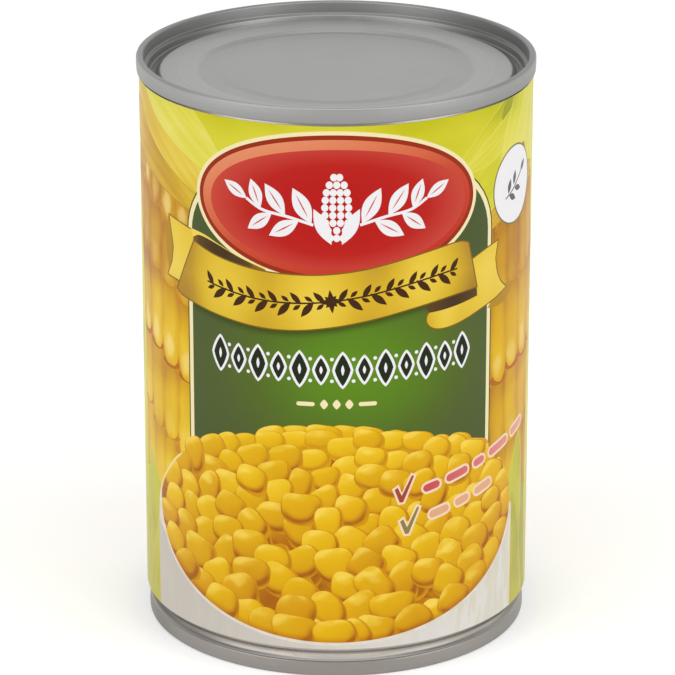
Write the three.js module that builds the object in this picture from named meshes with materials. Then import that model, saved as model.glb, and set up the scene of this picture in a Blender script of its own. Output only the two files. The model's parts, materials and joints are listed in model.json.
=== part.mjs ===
// A can of sweet corn: a standing tinplate food can, 73 mm x 110 mm nominal, with a paper label.
// Millimetres, +Z up, origin at the middle of the ring that the can stands on, label front facing -Y.
// Four pieces: the filled tin body, the top and bottom ends with their double seams, and the label.
import * as THREE from "three";

// ---- driving dimensions -------------------------------------------------
const CAN_HEIGHT = 110.4; // over both seams
const SIDES = 72; // facets round the can

const BODY_R = 36.5; // outside of the tinplate wall
const NECK_TOP_R = 36.1; // the wall just under the top seam
const NECK_BOTTOM_R = 35.35; // the wall just above the bottom seam
const FLARE_R = 36.0; // the wall's foot, flared out over the bottom seam
const NECK_BOTTOM_LOW = 4.15; // height where the bottom neck is narrowest
const NECK_BOTTOM_HIGH = 5.6; // height where it reaches the full radius

const LABEL_INNER_R = 36.58;
const LABEL_OUTER_R = 36.7;
const LABEL_LOW = 5.75; // bottom edge of the paper
const LABEL_HIGH = 107.0; // top edge of the paper

const SEAM_HEIGHT = 3.0; // a double seam, from its crown to its hem
const SEAM_WIDTH = 1.3; // radial thickness of a double seam
const SEAM_CROWN_R = 0.5; // rounding of the crown
const SEAM_HEM_R = 0.28; // rounding of the hem
const TOP_SEAM_R = 37.1; // outside radius of the top seam
const BOTTOM_SEAM_R = 36.15; // outside radius of the bottom seam

const PANEL_DEPTH = 2.92; // flat outer ring of the end, below the crown
const GROOVE_DEPTH = 3.92; // countersink groove, below the crown
const INNER_RING_DEPTH = 3.47; // ring inside the expansion step
const CENTRE_DEPTH = 3.32; // centre panel
const SHOULDER_DEPTH = 2.35; // small ledge half way down the chuck wall
const END_UNDERSIDE = 4.45; // inner face of the end, below the crown
const GAP = 0.05; // clearance between neighbouring pieces

// ---- helpers ------------------------------------------------------------
// Points of a quarter turn from angle a to b (degrees) round (cr, cd), as [radius, depth] pairs.
function arc(cr, cd, radius, a, b, steps) {
  const out = [];
  for (let i = 0; i <= steps; i++) {
    const t = THREE.MathUtils.degToRad(a + ((b - a) * i) / steps);
    out.push([cr + radius * Math.cos(t), cd - radius * Math.sin(t)]);
  }
  return out;
}

// The closed section of one end, as [radius, depth below the crown] pairs, from the axis on its
// outer face, over the crown and the hem, and back to the axis on its inner face.
function endSection(seamR) {
  const inner = seamR - SEAM_WIDTH; // radius of the chuck wall at the crown
  const k = inner / (TOP_SEAM_R - SEAM_WIDTH); // the beads keep their place on a smaller end
  return [
    [0, CENTRE_DEPTH],
    [21.2 * k, CENTRE_DEPTH],
    [22.3 * k, INNER_RING_DEPTH],
    [25.7 * k, INNER_RING_DEPTH],
    [26.7 * k, PANEL_DEPTH],
    [inner - 3.2, PANEL_DEPTH],
    [inner - 2.6, PANEL_DEPTH + 0.3],
    [inner - 2.0, GROOVE_DEPTH - 0.12],
    [inner - 1.6, GROOVE_DEPTH],
    [inner - 1.15, GROOVE_DEPTH - 0.15],
    [inner - 0.85, GROOVE_DEPTH - 0.65],
    [inner - 0.5, SHOULDER_DEPTH + 0.15],
    [inner - 0.1, SHOULDER_DEPTH - 0.15],
    ...arc(inner + SEAM_CROWN_R, SEAM_CROWN_R, SEAM_CROWN_R, 180, 90, 2),
    ...arc(seamR - SEAM_CROWN_R, SEAM_CROWN_R, SEAM_CROWN_R, 90, 0, 2),
    ...arc(seamR - SEAM_HEM_R, SEAM_HEIGHT - SEAM_HEM_R, SEAM_HEM_R, 0, -90, 1),
    [inner - 0.3, SEAM_HEIGHT],
    [inner - 0.65, END_UNDERSIDE - 0.15],
    [inner - 1.1, END_UNDERSIDE],
    [0, END_UNDERSIDE],
  ];
}

// The end's inner face with a clearance, from the seam to the axis: the body stops here.
function underEnd(seamR, neckR) {
  const inner = seamR - SEAM_WIDTH;
  return [
    [neckR, SEAM_HEIGHT + GAP],
    [inner - 0.3 + GAP, SEAM_HEIGHT + GAP],
    [inner - 0.65 + GAP, END_UNDERSIDE - 0.15 + GAP],
    [inner - 1.1 + GAP, END_UNDERSIDE + GAP],
    [0, END_UNDERSIDE + GAP],
  ];
}

// A solid of revolution about +Z from [radius, height] pairs that run upwards on the outside.
function turned(section) {
  const points = section.map(([r, z]) => new THREE.Vector2(r, z));
  return new THREE.LatheGeometry(points, SIDES).rotateX(Math.PI / 2);
}

const fromTop = ([r, d]) => [r, CAN_HEIGHT - d];
const fromBottom = ([r, d]) => [r, d];

// ---- the pieces ---------------------------------------------------------
const topEnd = endSection(TOP_SEAM_R).map(fromTop).reverse();
const bottomEnd = endSection(BOTTOM_SEAM_R).map(fromBottom);

const canBody = [
  ...underEnd(BOTTOM_SEAM_R, FLARE_R).map(fromBottom).reverse(),
  [(FLARE_R + NECK_BOTTOM_R) / 2 - 0.08, SEAM_HEIGHT + 0.5],
  [NECK_BOTTOM_R, NECK_BOTTOM_LOW],
  [NECK_BOTTOM_R + 0.35, NECK_BOTTOM_LOW + 0.35],
  [BODY_R - 0.2, NECK_BOTTOM_HIGH - 0.4],
  [BODY_R, NECK_BOTTOM_HIGH],
  [BODY_R, LABEL_HIGH - 0.05],
  [NECK_TOP_R, CAN_HEIGHT - SEAM_HEIGHT - 0.15],
  ...underEnd(TOP_SEAM_R, NECK_TOP_R).map(fromTop),
];

const label = [
  [LABEL_INNER_R, LABEL_LOW],
  [LABEL_OUTER_R, LABEL_LOW],
  [LABEL_OUTER_R, LABEL_HIGH],
  [LABEL_INNER_R, LABEL_HIGH],
  [LABEL_INNER_R, LABEL_LOW],
];

const tinplate = { color: 0xa3a3a4, roughness: 0.38, metalness: 0.9 };
const paper = { color: 0xd9bd34, roughness: 0.35, metalness: 0.0 };

const can = new THREE.Group();
for (const [name, section, finish] of [
  ["can_body", canBody, tinplate],
  ["bottom_end", bottomEnd, tinplate],
  ["top_end", topEnd, tinplate],
  ["label", label, paper],
]) {
  const mesh = new THREE.Mesh(
    turned(section),
    new THREE.MeshStandardMaterial(finish),
  );
  mesh.name = name;
  can.add(mesh);
}

export default can;
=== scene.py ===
import json
import math
import random

import bpy
import numpy as np
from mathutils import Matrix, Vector
from mathutils.geometry import delaunay_2d_cdt

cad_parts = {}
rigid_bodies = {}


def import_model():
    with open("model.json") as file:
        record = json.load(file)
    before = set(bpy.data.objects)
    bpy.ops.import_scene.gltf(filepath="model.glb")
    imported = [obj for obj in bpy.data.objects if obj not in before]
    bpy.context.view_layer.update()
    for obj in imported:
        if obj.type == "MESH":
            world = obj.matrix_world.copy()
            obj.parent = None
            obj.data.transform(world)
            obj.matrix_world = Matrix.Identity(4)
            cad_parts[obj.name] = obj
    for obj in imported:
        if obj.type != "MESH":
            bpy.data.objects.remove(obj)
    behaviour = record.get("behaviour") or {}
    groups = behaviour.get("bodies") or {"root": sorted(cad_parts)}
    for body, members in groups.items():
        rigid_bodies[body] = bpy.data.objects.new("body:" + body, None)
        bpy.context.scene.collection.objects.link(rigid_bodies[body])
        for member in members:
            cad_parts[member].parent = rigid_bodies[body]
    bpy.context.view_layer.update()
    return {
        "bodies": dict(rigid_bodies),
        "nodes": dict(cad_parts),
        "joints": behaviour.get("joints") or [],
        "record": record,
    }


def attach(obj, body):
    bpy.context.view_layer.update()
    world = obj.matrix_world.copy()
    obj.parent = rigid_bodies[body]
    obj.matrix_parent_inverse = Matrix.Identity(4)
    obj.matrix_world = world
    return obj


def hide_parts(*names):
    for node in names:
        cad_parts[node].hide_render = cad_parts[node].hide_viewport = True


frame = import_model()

MM = 0.001

# =====================================================================================
# Sizes, in millimetres (the same frame as the solids: +Z up, label front towards -Y)
# =====================================================================================
CAN_H = 110.4
TOP_SEAM_R = 37.1
BOTTOM_SEAM_R = 36.15
SEAM_W = 1.3
SEAM_H = 3.0
WALL_R = 36.45
LABEL_R = 36.7  # the print is laid out on this radius
PAPER = 0.1
LABEL_Z0, LABEL_Z1 = 5.75, 107.0
TURN = 2 * math.pi * LABEL_R  # once round the can
FACE = TURN / 2  # two equal display faces
OVERLAP = 7.0  # glued overlap of the paper
S_END = 70.0  # where the upper end of the paper stops
S_START = S_END - TURN - OVERLAP


# =====================================================================================
# Node helpers
# =====================================================================================
def lin(c):
    return c / 12.92 if c <= 0.04045 else ((c + 0.055) / 1.055) ** 2.4


def srgb(r, g, b):
    return tuple(lin(v / 255) for v in (r, g, b)) + (1.0,)


# The varnish adds a little white light to every ink, and the studio isn't quite as bright as
# one: an ink is stated as it is seen, and this takes both off.
VARNISH = 0.0102
STUDIO = 1.145


def ink(r, g, b):
    return tuple(
        min(0.93, max(0.0015, (lin(v / 255) - VARNISH) / STUDIO)) for v in (r, g, b)
    ) + (1.0,)


class Mat:
    """A Principled material and short names for the nodes that feed it."""

    def __init__(self, name, **sockets):
        self.mat = bpy.data.materials.new(name)
        self.mat.use_nodes = True
        self.tree = self.mat.node_tree
        self.tree.nodes.clear()
        self.out = self.tree.nodes.new("ShaderNodeOutputMaterial")
        self.bsdf = self.tree.nodes.new("ShaderNodeBsdfPrincipled")
        self.tree.links.new(self.bsdf.outputs[0], self.out.inputs[0])
        for k, v in sockets.items():
            self.bsdf.inputs[k.replace("_", " ")].default_value = v

    def put(self, socket, value):
        if isinstance(value, bpy.types.NodeSocket):
            self.tree.links.new(value, socket)
        else:
            socket.default_value = value

    def set(self, name, value):
        self.put(self.bsdf.inputs[name], value)

    def new(self, kind):
        return self.tree.nodes.new("ShaderNode" + kind)

    def math(self, op, a, b=0.0, c=0.0, clamp=False):
        n = self.new("Math")
        n.operation = op
        n.use_clamp = clamp
        for i, v in enumerate((a, b, c)):
            self.put(n.inputs[i], v)
        return n.outputs[0]

    def add(self, a, b):
        return self.math("ADD", a, b)

    def sub(self, a, b):
        return self.math("SUBTRACT", a, b)

    def mul(self, a, b):
        return self.math("MULTIPLY", a, b)

    def lerp(self, t, a, b):  # a + t (b - a) for numbers a and b
        return self.math("MULTIPLY_ADD", t, b - a, a)

    def smooth(self, x, lo, hi, to_lo=0.0, to_hi=1.0):
        n = self.new("MapRange")
        n.interpolation_type = "SMOOTHSTEP"
        for i, v in enumerate((x, lo, hi, to_lo, to_hi)):
            self.put(n.inputs[i], v)
        return n.outputs[0]

    def xyz(self, v):
        n = self.new("SeparateXYZ")
        self.put(n.inputs[0], v)
        return n.outputs[0], n.outputs[1], n.outputs[2]

    def vec(self, x, y, z):
        n = self.new("CombineXYZ")
        for i, v in enumerate((x, y, z)):
            self.put(n.inputs[i], v)
        return n.outputs[0]

    def attr(self, name):
        n = self.new("Attribute")
        n.attribute_name = name
        return n.outputs["Vector"]

    def coords(self):
        return self.new("TexCoord").outputs["Object"]

    def noise(self, v, scale, detail=2.0, rough=0.5, distort=0.0):
        n = self.new("TexNoise")
        self.put(n.inputs["Vector"], v)
        n.inputs["Scale"].default_value = scale
        n.inputs["Detail"].default_value = detail
        n.inputs["Roughness"].default_value = rough
        n.inputs["Distortion"].default_value = distort
        return n.outputs[0]

    def ramp(self, t, *stops, smooth=False):
        n = self.new("ValToRGB")
        n.color_ramp.interpolation = "EASE" if smooth else "LINEAR"
        e = n.color_ramp.elements
        while len(e) < len(stops):
            e.new(0.5)
        for el, (at, colour) in zip(e, stops):
            el.position = at
        for el, (at, colour) in zip(e, stops):
            el.color = colour
        self.put(n.inputs[0], t)
        return n.outputs[0]

    def mix(self, t, a, b, blend="MIX"):
        n = self.new("Mix")
        n.data_type = "RGBA"
        n.blend_type = blend
        self.put(n.inputs[0], t)
        self.put(n.inputs[6], a)
        self.put(n.inputs[7], b)
        return n.outputs[2]

    def scaled(self, colour, t):  # a colour times a number
        n = self.new("VectorMath")
        n.operation = "SCALE"
        self.put(n.inputs[0], colour)
        self.put(n.inputs["Scale"], t)
        return n.outputs[0]

    def bump(self, height, strength, distance, normal=None):
        n = self.new("Bump")
        n.inputs["Strength"].default_value = strength
        n.inputs["Distance"].default_value = distance
        self.put(n.inputs["Height"], height)
        if normal is not None:
            self.put(n.inputs["Normal"], normal)
        return n.outputs[0]


# =====================================================================================
# Tinplate
# =====================================================================================
def tinplate(name, grain, tone=1.0, satin=0.44, warm=0.0, painted_light=None):
    """Rolled tinplate. grain is "sheet" for straight rolling marks, seen on the flat of an end,
    with the die's rings over them, or "round" for marks that run round the can. The last argument,
    a function of (m, x, y, z), scales the colour from place to place: painted light and shade."""
    m = Mat(name, Metallic=1.0, IOR=1.5)
    p = m.coords()
    x, y, z = m.xyz(p)
    radius = m.math("SQRT", m.add(m.mul(x, x), m.mul(y, y)))
    turn = m.math("ARCTAN2", y, x)
    # rolling marks: noise drawn out along one direction, turned 24 degrees from the label's front
    ca, sa = math.cos(math.radians(24)), math.sin(math.radians(24))
    along = m.add(m.mul(x, ca), m.mul(y, sa))
    across = m.sub(m.mul(y, ca), m.mul(x, sa))
    if grain == "sheet":
        lines = m.noise(m.vec(m.mul(along, 60), m.mul(across, 5200), 0.0), 1.0, 3.0, 0.6)
        broad = m.noise(m.vec(m.mul(along, 25), m.mul(across, 420), 0.0), 1.0, 3.0, 0.55)
        rings = m.noise(m.vec(m.mul(radius, 3800), m.mul(turn, 0.6), 3.0), 1.0, 2.0, 0.5)
    else:
        lines = m.noise(m.vec(m.mul(z, 7000), m.mul(turn, 2.2), m.mul(radius, 4000)), 1.0, 3.0, 0.6)
        broad = m.noise(m.vec(m.mul(z, 900), m.mul(turn, 1.4), 7.0), 1.0, 3.0, 0.55)
        rings = m.noise(m.vec(m.mul(radius, 5200), m.mul(z, 5200), m.mul(turn, 1.1)), 1.0, 2.0, 0.5)
    cloud = m.noise(p, 55.0, 4.0, 0.55, 0.4)
    fine = m.noise(p, 2600.0, 2.0, 0.6)
    # hairline scratches in two directions, kept to a few places
    sc = m.noise(m.vec(m.mul(m.add(x, m.mul(y, 0.42)), 4200), m.mul(m.sub(y, m.mul(x, 0.42)), 70), 1.0), 1.0, 1.0)
    sc2 = m.noise(m.vec(m.mul(m.sub(x, m.mul(y, 1.9)), 2300), m.mul(m.add(y, m.mul(x, 1.9)), 34), 9.0), 1.0, 1.0)
    where = m.smooth(m.noise(p, 130.0, 2.0), 0.5, 0.62)
    scratch = m.mul(m.math("MAXIMUM", m.smooth(sc, 0.72, 0.77), m.smooth(sc2, 0.73, 0.78)), where)

    t = m.add(m.mul(m.sub(lines, 0.5), 0.16), m.add(m.mul(m.sub(broad, 0.5), 0.16), m.mul(m.sub(cloud, 0.5), 0.22)))
    t = m.add(m.add(t, 0.5), m.mul(scratch, 0.10))
    a, b = 0.395 * tone, 0.485 * tone
    colour = m.ramp(
        t,
        (0.25, (a * (0.998 + warm), a * 0.997, a * (0.993 - warm), 1)),
        (0.75, (b * (1.008 + warm), b, b * (0.982 - warm), 1)),
    )
    m.set("Base Color", m.scaled(colour, painted_light(m, x, y, z)) if painted_light else colour)
    rough = m.add(m.add(m.mul(m.sub(cloud, 0.5), 0.22), m.mul(m.sub(broad, 0.5), 0.12)), satin)
    rough = m.add(rough, m.add(m.mul(m.sub(fine, 0.5), 0.06), m.mul(scratch, -0.10)))
    m.set("Roughness", m.math("MINIMUM", m.math("MAXIMUM", rough, 0.2), 0.7))
    h = m.add(m.mul(lines, 0.6), m.add(m.mul(rings, 0.35), m.add(m.mul(fine, 0.25), m.mul(scratch, -0.8))))
    n1 = m.bump(m.noise(p, 38.0, 2.0, 0.5), 0.25, 0.0006)  # the sheet isn't quite flat
    m.set("Normal", m.bump(h, 0.16, 0.00006, n1))
    return m.mat


# =====================================================================================
# Turned pieces
# =====================================================================================
def fillet(points, closed, steps=5):
    """Rounds the corners of a profile of (r, z, radius) points. Returns [(r, z, normal r, normal z)],
    with the normal on the right hand of the way the profile runs."""
    out = []
    n = len(points)
    for i, (r, z, rad) in enumerate(points):
        p = np.array((r, z))
        if not closed and i in (0, n - 1):
            q = np.array(points[1 if i == 0 else n - 2][:2])
            d = (q - p) if i == 0 else (p - q)
            d /= np.linalg.norm(d)
            out.append((r, z, 0.0, -math.copysign(1.0, d[0])))
            continue
        a = np.array(points[i - 1][:2])
        b = np.array(points[(i + 1) % n][:2])
        d1, d2 = p - a, b - p
        l1, l2 = np.linalg.norm(d1), np.linalg.norm(d2)
        d1, d2 = d1 / l1, d2 / l2
        phi = math.atan2(d1[0] * d2[1] - d1[1] * d2[0], float(d1 @ d2))
        if abs(phi) < 1e-4:
            out.append((r, z, d1[1], -d1[0]))
            continue
        t = min(rad * math.tan(abs(phi) / 2), 0.49 * l1, 0.49 * l2)
        rad = t / math.tan(abs(phi) / 2)
        side = 1.0 if phi > 0 else -1.0
        c = p - d1 * t + np.array((-d1[1], d1[0])) * rad * side
        k = max(2, math.ceil(steps * abs(phi) / (math.pi / 2)) + 1)
        for j in range(k + 1):
            g = phi * j / k
            d = np.array((d1[0] * math.cos(g) - d1[1] * math.sin(g), d1[0] * math.sin(g) + d1[1] * math.cos(g)))
            q = c - np.array((-d[1], d[0])) * rad * side
            out.append((q[0], q[1], d[1], -d[0]))
    return out


def turned(name, profile, closed, sides, shift=None):
    """A closed mesh of revolution from a filleted profile, with exact smooth normals."""
    verts, norms, rings = [], [], []
    for r, z, nr, nz in profile:
        if r < 1e-6:
            rings.append([len(verts)])
            verts.append((0.0, 0.0, z * MM))
            norms.append((0.0, 0.0, math.copysign(1.0, nz)))
            continue
        ring = []
        for j in range(sides):
            a = 2 * math.pi * j / sides
            rr = r + (shift(r, z, a) if shift else 0.0)
            ring.append(len(verts))
            verts.append((rr * math.sin(a) * MM, -rr * math.cos(a) * MM, z * MM))
            norms.append((nr * math.sin(a), -nr * math.cos(a), nz))
        rings.append(ring)
    faces = []
    pairs = list(zip(rings, rings[1:])) + ([(rings[-1], rings[0])] if closed else [])
    for a, b in pairs:
        for j in range(sides):
            k = (j + 1) % sides
            if len(a) == 1:
                faces.append((a[0], b[j], b[k]))
            elif len(b) == 1:
                faces.append((a[j], b[0], a[k]))
            else:
                faces.append((a[j], b[j], b[k], a[k]))
    # turn every face the way its normals point
    v, nn = np.array(verts), np.array(norms)
    f = faces[len(faces) // 2]
    if np.dot(np.cross(v[f[1]] - v[f[0]], v[f[2]] - v[f[0]]), nn[list(f)].sum(0)) < 0:
        faces = [tuple(reversed(f)) for f in faces]
    me = bpy.data.meshes.new(name)
    me.from_pydata(verts, [], faces)
    me.update()
    me.polygons.foreach_set("use_smooth", [True] * len(me.polygons))
    me.normals_split_custom_set_from_vertices(norms)
    ob = bpy.data.objects.new(name, me)
    bpy.context.scene.collection.objects.link(ob)
    return ob


def end_profile(seam_r):
    """The end and its double seam: the outer face from the axis out over the crown, down the seam
    wall, round the hem, and back to the axis on the inner face. Depths from the crown."""
    i = seam_r - SEAM_W
    k = i / (TOP_SEAM_R - SEAM_W)
    T = 0.35
    pts = [
        (0, 3.32, 0),
        (20.7 * k, 3.32, 2.0),
        (22.3 * k, 3.46, 2.0),
        (25.55 * k, 3.46, 0.7),
        (26.35 * k, 2.94, 0.45),
        (27.4 * k, 2.92, 1.0),
        (28.9 * k, 2.92, 0.9),
        (29.5 * k, 2.87, 0.8),
        (30.1 * k, 2.92, 0.9),
        (i - 3.15, 2.92, 0.45),
        (i - 2.35, 3.86, 0.5),
        (i - 1.00, 3.90, 0.45),
        (i - 0.74, 2.58, 0.3),
        (i - 0.13, 2.22, 0.3),
        (i - 0.0, 0.0, 0.36),
        (seam_r - 0.02, 0.0, 0.46),
        (seam_r, 1.35, 1.5),
        (seam_r - 0.1, SEAM_H, 0.5),
        (i + 0.35, SEAM_H, 0.12),
        (i + 0.10, 2.55, 0.15),
        (i - 0.30, 2.95, 0.2),
        (i - 0.62, 3.90 + T, 0.4),
        (i - 2.6, 3.86 + T, 0.4),
        (i - 3.5, 3.47 + T, 0.4),
        (25.0 * k, 3.46 + T, 0.6),
        (0, 3.32 + T, 0),
    ]
    return pts


top_pts = [(r, CAN_H - d, q) for r, d, q in end_profile(TOP_SEAM_R)]
bottom_pts = [(r, d, q) for r, d, q in end_profile(BOTTOM_SEAM_R)]
top_end = turned("top_end_turned", fillet(top_pts, False), False, 288)
bottom_end = turned("bottom_end_turned", fillet(bottom_pts, False), False, 288)


def weld(r, z, a):
    """The side seam's weld: a low flat ridge up the back of the wall."""
    d = (a - math.radians(203) + math.pi) % (2 * math.pi) - math.pi
    return 0.07 * max(0.0, 1 - (abs(d) * WALL_R / 0.85) ** 4)


wall_pts = [
    (35.0, 3.02, 0.05),
    (36.02, 3.02, 0.07),
    (36.0, 3.12, 0.07),
    (35.56, 3.52, 0.7),
    (35.34, 4.25, 0.7),
    (35.62, 4.80, 0.5),
    (36.25, 5.15, 0.8),
    (WALL_R, 5.9, 1.5),
    (WALL_R, 106.55, 1.0),
    (36.28, 107.0, 0.6),
    (36.1, 107.75, 0.3),
    (35.9, 107.75, 0.08),
    (35.9, 106.9, 0.3),
    (36.2, 106.3, 0.6),
    (36.2, 6.1, 0.8),
    (35.4, 4.9, 0.8),
    (35.0, 4.2, 0.5),
]
can_wall = turned("can_wall", fillet(wall_pts, True), True, 360, weld)

def neck_shade(m, x, y, z):
    """Painted light on the wall under the paper: a painted highlight on the flare below the neck, stronger or weaker
    from side to side, and painted shade where the neck turns in under the paper, darkest at the sides.
    """
    wide = m.math("ABSOLUTE", x)
    side = m.mul(m.smooth(x, -0.018, -0.034, 1.0, 0.55), m.smooth(x, 0.020, 0.026, 1.0, 1.15))
    side = m.mul(side, m.mul(m.smooth(wide, 0.005, 0.014, 1.0, 0.50), m.smooth(wide, 0.0285, 0.0340, 1.0, 0.50)))
    dim = m.mul(m.sub(1.0, side), m.smooth(z, 0.0030, 0.0036, 0.25, 1.0))
    # painted highlight on the flare below the neck, taken down at the sides
    painted_highlight = m.mul(m.smooth(z, 0.0031, 0.0038, 0.68, 1.07), m.sub(1.0, dim))
    # painted shade on the neck, darkest at the sides
    neck = m.smooth(wide, 0.015, 0.034, 0.60, 0.20)
    return m.add(painted_highlight, m.mul(m.smooth(z, 0.0039, 0.0043), m.sub(neck, painted_highlight)))


def foot_shade(m, x, y, z):
    """Painted shade on the lower seam: darker in the middle than towards the sides, and darkest at the far left."""
    return m.mul(m.smooth(m.math("ABSOLUTE", x), 0.012, 0.028, 0.875, 0.94), m.smooth(x, -0.029, -0.034, 1.0, 0.80))


def seam_shade(m, x, y, z):
    """Painted light on the upper seam: a painted highlight on the front of its crown, painted shade down to its hem, a
    little lighter at the far left, and painted shade inside it at the sides.
    """
    front = m.smooth(y, -0.020, -0.036)
    low = m.mul(m.smooth(z, 0.1076, 0.1100, 0.80, 0.92), m.smooth(x, -0.010, -0.032, 1.0, 1.09))
    r = m.math("SQRT", m.add(m.mul(x, x), m.mul(y, y)))
    inside = m.mul(m.smooth(r, 0.0361, 0.0359), m.smooth(m.math("ABSOLUTE", x), 0.012, 0.026, 0.0, 0.24))
    return m.mul(m.mul(low, m.sub(1.0, inside)), m.add(m.mul(front, m.smooth(z, 0.11005, 0.11035, 0.0, 0.46)), 1.0))


def wall_shade(m, x, y, z):
    """Painted shade on the end: darker up the wall of its groove, and in the groove at the sides."""
    r = m.math("SQRT", m.add(m.mul(x, x), m.mul(y, y)))
    sides = m.smooth(m.math("ABSOLUTE", x), 0.014, 0.028)
    groove = m.mul(m.smooth(r, 0.0329, 0.0334), m.mul(sides, 0.38))
    return m.mul(m.smooth(r, 0.0343, 0.0347, 1.0, 0.82), m.sub(1.0, groove))


# Copies of one tin in different tones: the lighter tones, on the panel's outer ring and the wall below the paper, are
# painted light, and the darker tones on the two seams are painted shade. The warm tint on the wall is a painted
# reflection of the paper, and the shade functions paint more light and shade from place to place.
tin_end = tinplate("tinplate_end", "sheet", 1.05, 0.48, 0.0, wall_shade)
tin_ring_lit = tinplate("tinplate_ring_lit", "sheet", 1.20, 0.56)
tin_round = tinplate("tinplate_round", "round", 0.84, 0.50, 0.0, seam_shade)
tin_foot = tinplate("tinplate_foot", "round", 0.72, 0.44, 0.05, foot_shade)
tin_wall = tinplate("tinplate_wall", "round", 1.32, 0.32, 0.07, neck_shade)


def give(ob, *mats):
    for m in mats:
        ob.data.materials.append(m)


give(top_end, tin_end, tin_round, tin_ring_lit)
give(bottom_end, tin_end, tin_foot, tin_ring_lit)
give(can_wall, tin_wall)
for ob, seam_r in ((top_end, TOP_SEAM_R), (bottom_end, BOTTOM_SEAM_R)):
    me = ob.data
    co = np.array([v.co for v in me.vertices])
    rad = np.hypot(co[:, 0], co[:, 1]) / MM
    inner = seam_r - SEAM_W
    step_r = 26.3 * inner / (TOP_SEAM_R - SEAM_W)
    for f in me.polygons:  # the rolled seam has marks that run round it; the panel's outer ring gets the lighter copy of the tin, a painted highlight
        r = rad[list(f.vertices)].mean()
        f.material_index = 1 if r > inner - 0.3 else 2 if step_r < r < inner - 3.0 else 0

# =====================================================================================
# The label's print, as plain shapes on the unrolled paper: s round the can, z up
# =====================================================================================
R = random.Random(410)
shapes = []  # painted in this order
MATS = []  # material names, in slot order


def slot_of(mat):
    if mat not in MATS:
        MATS.append(mat)
    return MATS.index(mat)


def paint(poly, mat, local=None, tone=0.5, rnd=None):
    """Adds a field. local(s, z) gives its own coordinates, tone is a number or a function."""
    area = sum(a[0] * b[1] - b[0] * a[1] for a, b in zip(poly, poly[1:] + poly[:1]))
    shapes.append(
        (
            list(poly) if area > 0 else list(reversed(poly)),
            slot_of(mat),
            local or (lambda s, z: (0.0, 0.0)),
            tone if callable(tone) else (lambda s, z, t=tone: t),
            R.random() if rnd is None else rnd,
        )
    )


def oval(cx, cz, a, b, n=96, rot=0.0):
    pts = [(a * math.cos(2 * math.pi * i / n), b * math.sin(2 * math.pi * i / n)) for i in range(n)]
    c, s = math.cos(rot), math.sin(rot)
    return [(cx + x * c - z * s, cz + x * s + z * c) for x, z in pts]


def disc_frame(cx, cz, a, b, rot=0.0):
    """Coordinates in which the rotated oval is the unit disc, with the page's up kept up."""
    c, s = math.cos(rot), math.sin(rot)

    def local(x, z):
        dx, dz = x - cx, z - cz
        p, q = (dx * c + dz * s) / a, (dz * c - dx * s) / b
        return (p * c - q * s, p * s + q * c)

    return local


def kernel_outline(cx, cz, a, b, rot, rng, power=2.35, taper=0.0, n=18, lumps=1.0):
    """A kernel's outline: between an oval and a rounded block, a little uneven."""
    c, s = math.cos(rot), math.sin(rot)
    p1, p2 = rng.uniform(0, 6.28), rng.uniform(0, 6.28)
    out = []
    for i in range(n):
        t = 2 * math.pi * i / n
        ct, st = math.cos(t), math.sin(t)
        r = (abs(ct) ** power + abs(st) ** power) ** (-1 / power)
        r *= 1 + lumps * (0.035 * math.sin(2 * t + p1) + 0.035 * math.sin(3 * t + p2))
        x, z = a * r * ct * (1 - taper * st), b * r * st
        out.append((cx + x * c - z * s, cz + x * s + z * c))
    return out


def diamond(cx, cz, a, b, rot, power=1.25, n=20):
    """An upright lozenge with softened sides and corners."""
    c, s = math.cos(rot), math.sin(rot)
    out = []
    for i in range(n):
        t = 2 * math.pi * i / n
        ct, st = math.cos(t), math.sin(t)
        r = (abs(ct) ** power + abs(st) ** power) ** (-1 / power)
        x, z = a * r * ct, b * r * st
        out.append((cx + x * c - z * s, cz + x * s + z * c))
    return out


def curve(points, n=40):
    """Catmull-Rom through the points."""
    p = [points[0]] + list(points) + [points[-1]]
    out = []
    seg = len(points) - 1
    for i in range(n + 1):
        t = seg * i / n
        k = min(int(t), seg - 1)
        t -= k
        q = p[k : k + 4]
        out.append(
            tuple(
                0.5
                * (
                    2 * q[1][d]
                    + (q[2][d] - q[0][d]) * t
                    + (2 * q[0][d] - 5 * q[1][d] + 4 * q[2][d] - q[3][d]) * t * t
                    + (3 * q[1][d] - q[0][d] - 3 * q[2][d] + q[3][d]) * t**3
                )
                for d in (0, 1)
            )
        )
    return out


def leaf(x0, z0, x1, z1, width, bend=0.0, n=24, point=0.8):
    """A pointed leaf from its base to its tip, and coordinates across (-1 to 1) and along it."""
    dx, dz = x1 - x0, z1 - z0
    length = math.hypot(dx, dz)
    ax, az = dx / length, dz / length
    nx, nz = -az, ax

    def mid(t):
        k = bend * length * math.sin(math.pi * t)
        return x0 + dx * t + nx * k, z0 + dz * t + nz * k

    left, right = [], []
    for i in range(n + 1):
        t = i / n
        w = width / 2 * math.sin(math.pi * t**point) ** 0.75
        mx, mz = mid(t)
        left.append((mx + nx * w, mz + nz * w))
        right.append((mx - nx * w, mz - nz * w))
    poly = left + right[-2:0:-1]

    def local(x, z):
        px, pz = x - x0, z - z0
        t = (px * ax + pz * az) / length
        tc = min(1.0, max(0.0, t))
        k = bend * length * math.sin(math.pi * tc)
        return ((px * nx + pz * nz - k) / (width / 2), t)

    return poly, local


def strip_between(top, bottom):
    """The field between two curves that both run left to right, with coordinates along and across."""
    tx, tz = zip(*top)
    bx, bz = zip(*bottom)

    def local(x, z):
        a, b = np.interp(x, tx, tz), np.interp(x, bx, bz)
        return (x / 30.0, float((z - (a + b) / 2) / max(0.2, (a - b) / 2)))

    return list(top) + list(reversed(bottom)), local


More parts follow.
